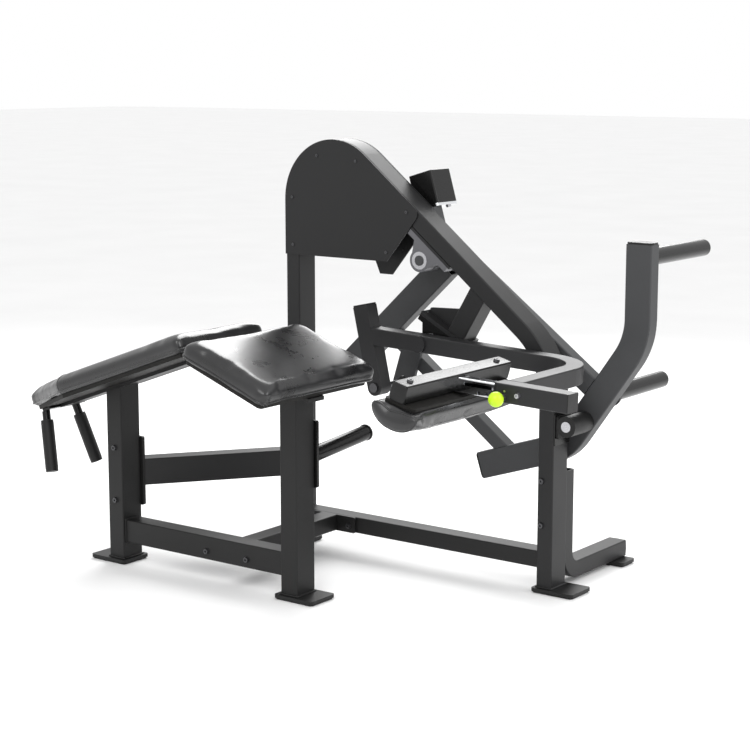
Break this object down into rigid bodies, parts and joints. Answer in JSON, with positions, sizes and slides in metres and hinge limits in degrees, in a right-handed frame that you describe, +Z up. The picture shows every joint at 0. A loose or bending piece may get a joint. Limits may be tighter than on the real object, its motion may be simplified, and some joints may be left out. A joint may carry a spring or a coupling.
{
  "type": "lying leg curl machine",
  "caption": "Plate-loaded lying leg curl machine: split angled bench, bent-tube hoop frame, hinged roller-pad arm with sliding pad and pull pin, driving a counterweighted weight arm.",
  "frame": {"origin": "on the floor, midway along the length and width of the machine at rest", "axes": "+X runs from the head end to the foot end, +Y from the bench side to the weight side, +Z up"},
  "size_m": [1.87, 1.204, 1.2677],
  "materials": {
    "post_paint": "satin charcoal powder coat",
    "hoop_paint": "satin dark grey powder coat",
    "arm_paint": "satin grey powder coat",
    "truss_paint": "satin mid-grey powder coat",
    "black_paint": "gloss black powder coat",
    "vinyl": "glossy black upholstery vinyl with fine grain",
    "board": "black-stained plywood",
    "rubber": "matte black rubber",
    "plastic": "satin black plastic",
    "chrome": "polished",
    "steel": "machined",
    "cast": "silver-painted casting",
    "knob": "moulded yellow-green"
  },
  "bodies": {
    "frame": {"head_post": "post_paint", "knee_post": "post_paint", "bench_base_tube": "post_paint", "base_cross_tube": "post_paint", "long_base_tube": "post_paint", "upper_cross_tube": "hoop_paint", "main_hoop": "hoop_paint", "rear_leg": "hoop_paint", "foot_plates": "post_paint", "floor_pads": "rubber", "joint_flanges": "post_paint", "frame_bolts": "steel", "hoop_covers": "hoop_paint", "cover_screws": "steel", "weight_blocks": "cast", "knee_blocks": "black_paint", "bearing_inserts": "steel", "pivot_seats": "hoop_paint", "pivot_strut": "hoop_paint", "bearing_bolts": "steel", "stop_plate": "black_paint", "stop_pad": "rubber", "bench_rail": "post_paint", "bench_boards": "board", "torso_pad": "vinyl", "thigh_pad": "vinyl", "grip_bars": "black_paint", "grip_sleeves": "rubber", "storage_horn": "black_paint", "storage_cap": "plastic"},
    "roller_arm": {"yoke_tube": "arm_paint", "front_tube": "arm_paint", "slide_bushing": "plastic", "pin_barrel": "steel", "lever_tube": "arm_paint", "roller_arm_caps": "plastic", "knee_shaft": "steel", "drive_pin": "steel", "drive_roller": "plastic"},
    "pad_carriage": {"slide_tube": "chrome", "roller_bracket": "black_paint", "roller_board": "board", "roller_pad": "vinyl", "bracket_bolts": "steel"},
    "pull_pin": {"lock_pin": "steel", "pull_knob": "knob"},
    "weight_arm": {"weight_arm_tube": "truss_paint", "drive_beam": "truss_paint", "upper_tie": "truss_paint", "lower_tie": "truss_paint", "pivot_hub": "steel", "drive_plate": "truss_paint", "counter_arm": "truss_paint", "counter_bracket": "chrome", "counterweight": "black_paint", "counter_bolts": "steel", "weight_horns": "black_paint", "bumper": "rubber", "bumper_core": "steel", "arm_caps": "plastic"}
  },
  "joints": [
    {"name": "knee_hinge", "type": "hinge", "parent": "frame", "child": "roller_arm", "pos_m": [0.188, 0.081, 0.69], "axis": [0, -1, 0], "range_deg": [0, 100]},
    {"name": "weight_hinge", "type": "hinge", "parent": "frame", "child": "weight_arm", "pos_m": [0.147, 0.2355, 0.925], "axis": [0, -1, 0], "range_deg": [0, 48]},
    {"name": "shin_slide", "type": "slide", "parent": "roller_arm", "child": "pad_carriage", "axis": [0.9991, 0, -0.0419], "range_m": [-0.05, 0.075]},
    {"name": "lock_pull", "type": "slide", "parent": "roller_arm", "child": "pull_pin", "axis": [0, -1, 0], "range_m": [0, 0.012], "stiffness_N_per_m": 800, "springref_m": -0.006}
  ],
  "couplings": [
    {"joint": "weight_hinge", "follows": "knee_hinge", "ratio": 0.4735}
  ]
}
